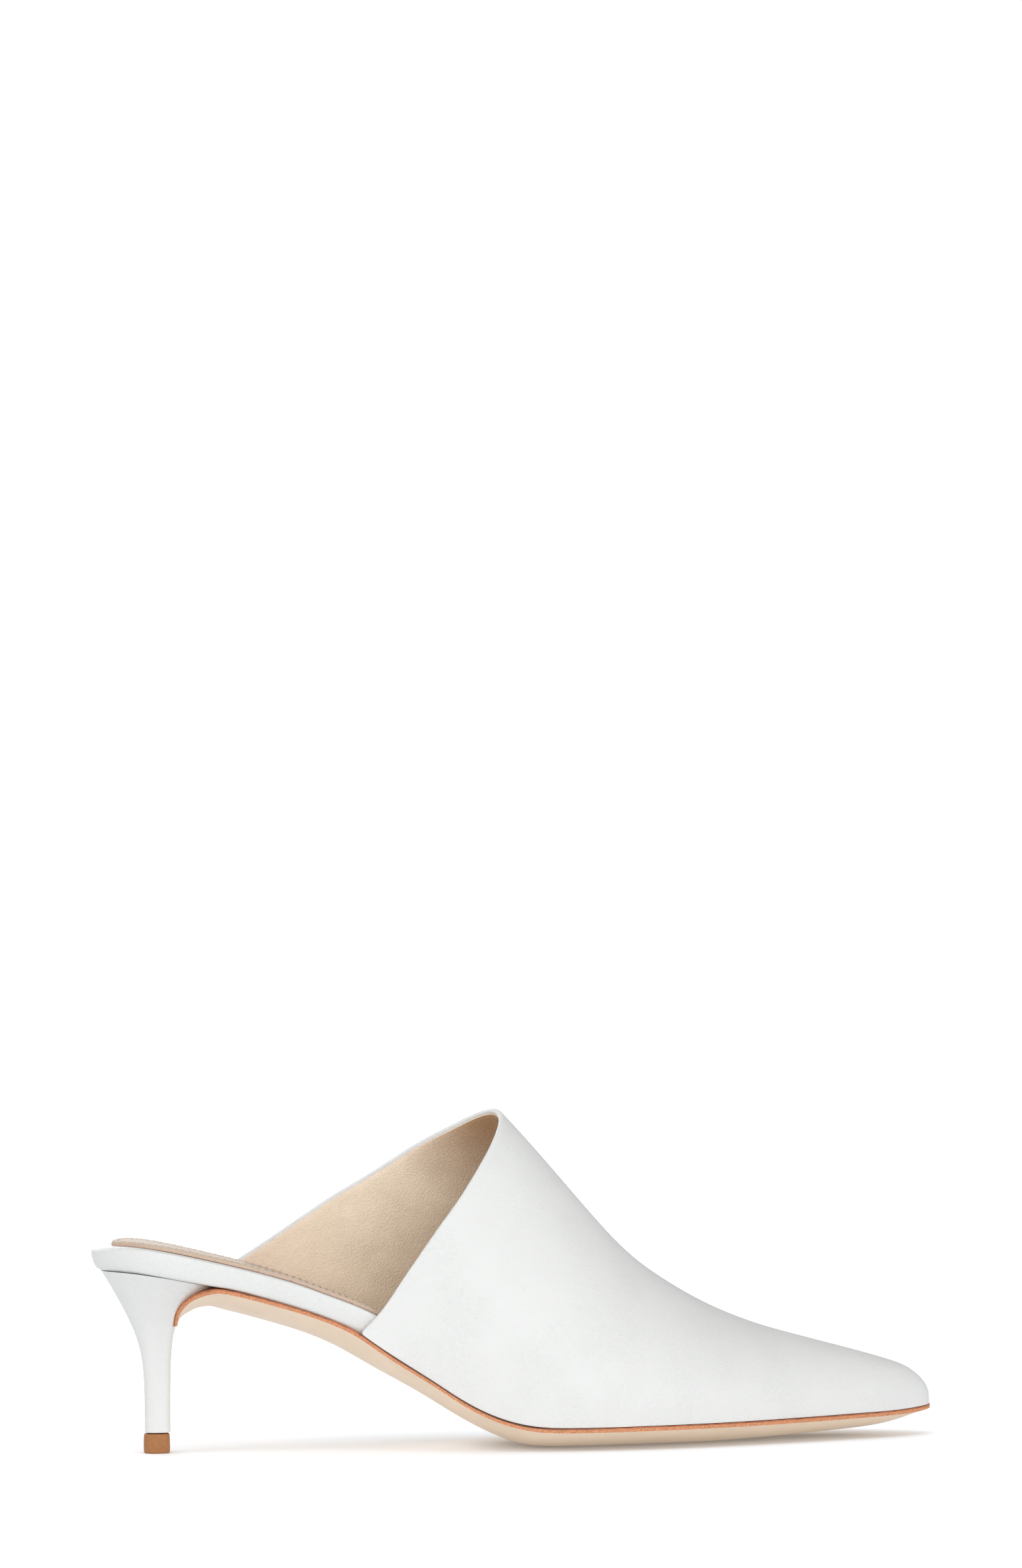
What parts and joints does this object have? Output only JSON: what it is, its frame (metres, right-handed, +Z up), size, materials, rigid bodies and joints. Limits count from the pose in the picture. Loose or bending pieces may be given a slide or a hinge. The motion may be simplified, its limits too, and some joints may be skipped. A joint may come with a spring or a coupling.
{
  "type": "kitten heel mule shoe",
  "caption": "Backless pointed-toe leather mule for the right foot, with an oblique topline, covered insole, leather outsole and slim covered kitten heel.",
  "frame": {"origin": "centre of the shoe's footprint (middle of its length and of its width) on the floor it stands on", "axes": "+X towards the toe, +Y towards the inner side of the foot (its big toe), +Z up from the floor"},
  "size_m": [0.2516, 0.0732, 0.0999],
  "materials": {
    "upper_leather": "smooth white nappa, soft sheen",
    "lining_leather": "fine-grained beige kid, matt",
    "sole_leather": "smooth painted beige face, natural tan edge",
    "top_piece_rubber": "matt brown"
  },
  "bodies": {
    "root": {"outsole": "sole_leather", "insole": "upper_leather", "sock_lining": "lining_leather", "upper": "upper_leather", "heel": "upper_leather", "top_piece": "top_piece_rubber"}
  },
  "joints": []
}
